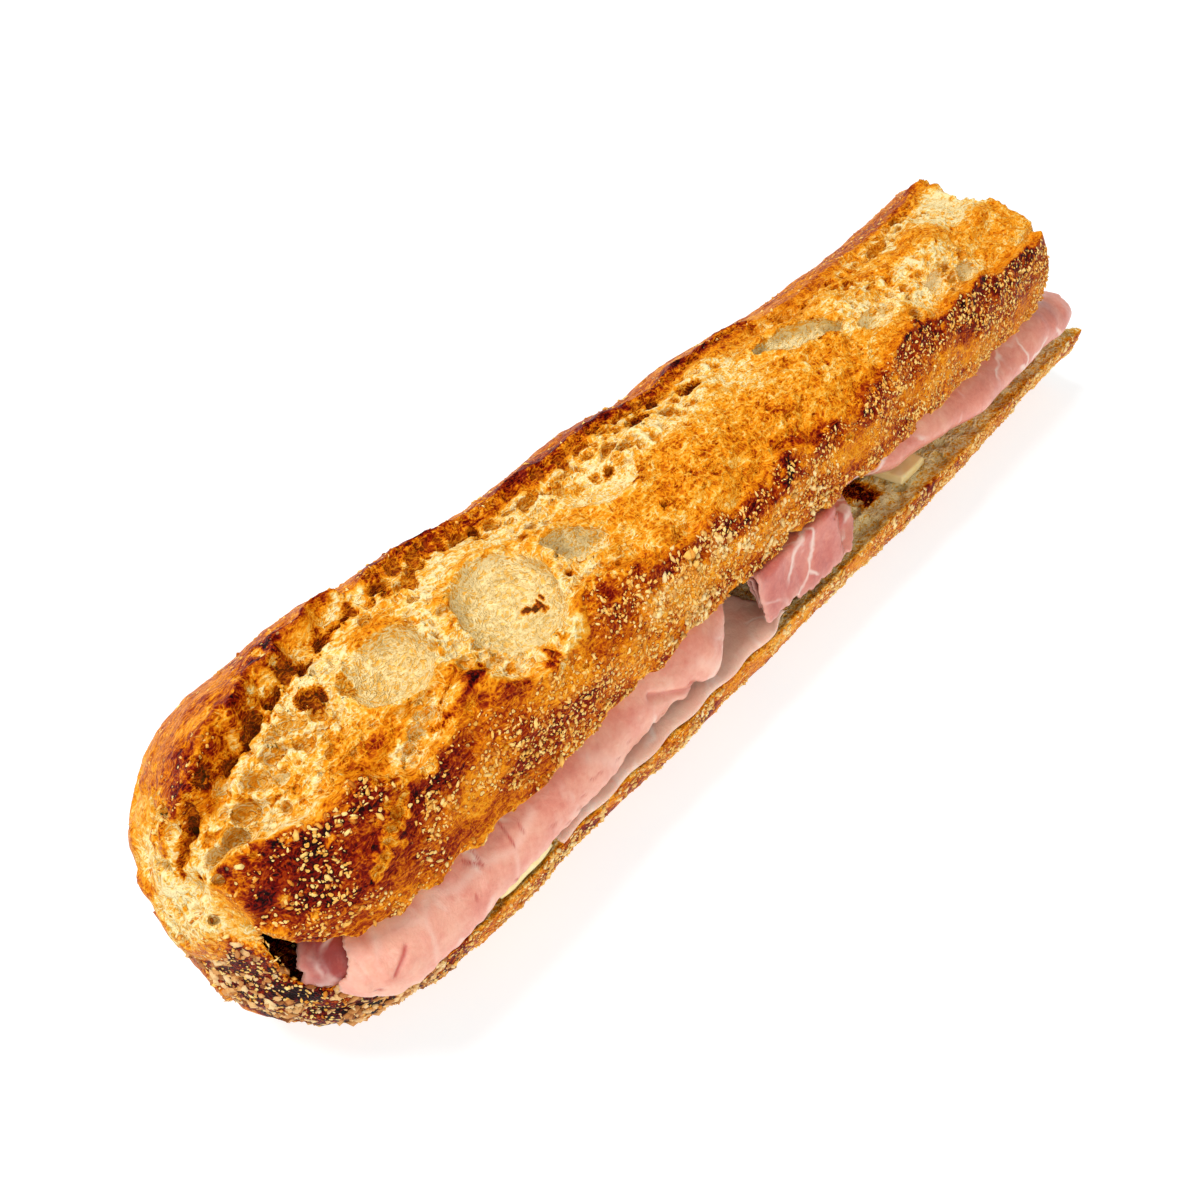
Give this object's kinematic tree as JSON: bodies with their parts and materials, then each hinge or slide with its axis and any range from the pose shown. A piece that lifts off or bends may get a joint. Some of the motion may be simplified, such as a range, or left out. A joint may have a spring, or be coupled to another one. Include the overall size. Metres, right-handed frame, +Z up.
{
  "type": "baguette sandwich",
  "caption": "Half baguette with a rounded heel and a cut end, slit along one side and filled with folded cooked ham and butter, lying flat.",
  "frame": {"origin": "below the middle of the sandwich, on the surface it lies on", "axes": "+X along the loaf from its rounded heel to its cut end, +Z up, the slit opens towards -Y"},
  "size_m": [0.2694, 0.0634, 0.0586],
  "materials": {
    "crust": "baked crust, golden to dark brown, dry and matte with a slight glaze on the lips, dusted with coarse semolina",
    "ham": "cooked ham, moist satin pink with paler marbling",
    "butter": "cold butter, pale yellow satin"
  },
  "bodies": {
    "root": {"bread": "crust", "ham_left": "ham", "ham_under": "ham", "ham_middle": "ham", "ham_right": "ham", "butter_left": "butter", "butter_right": "butter"}
  },
  "joints": []
}
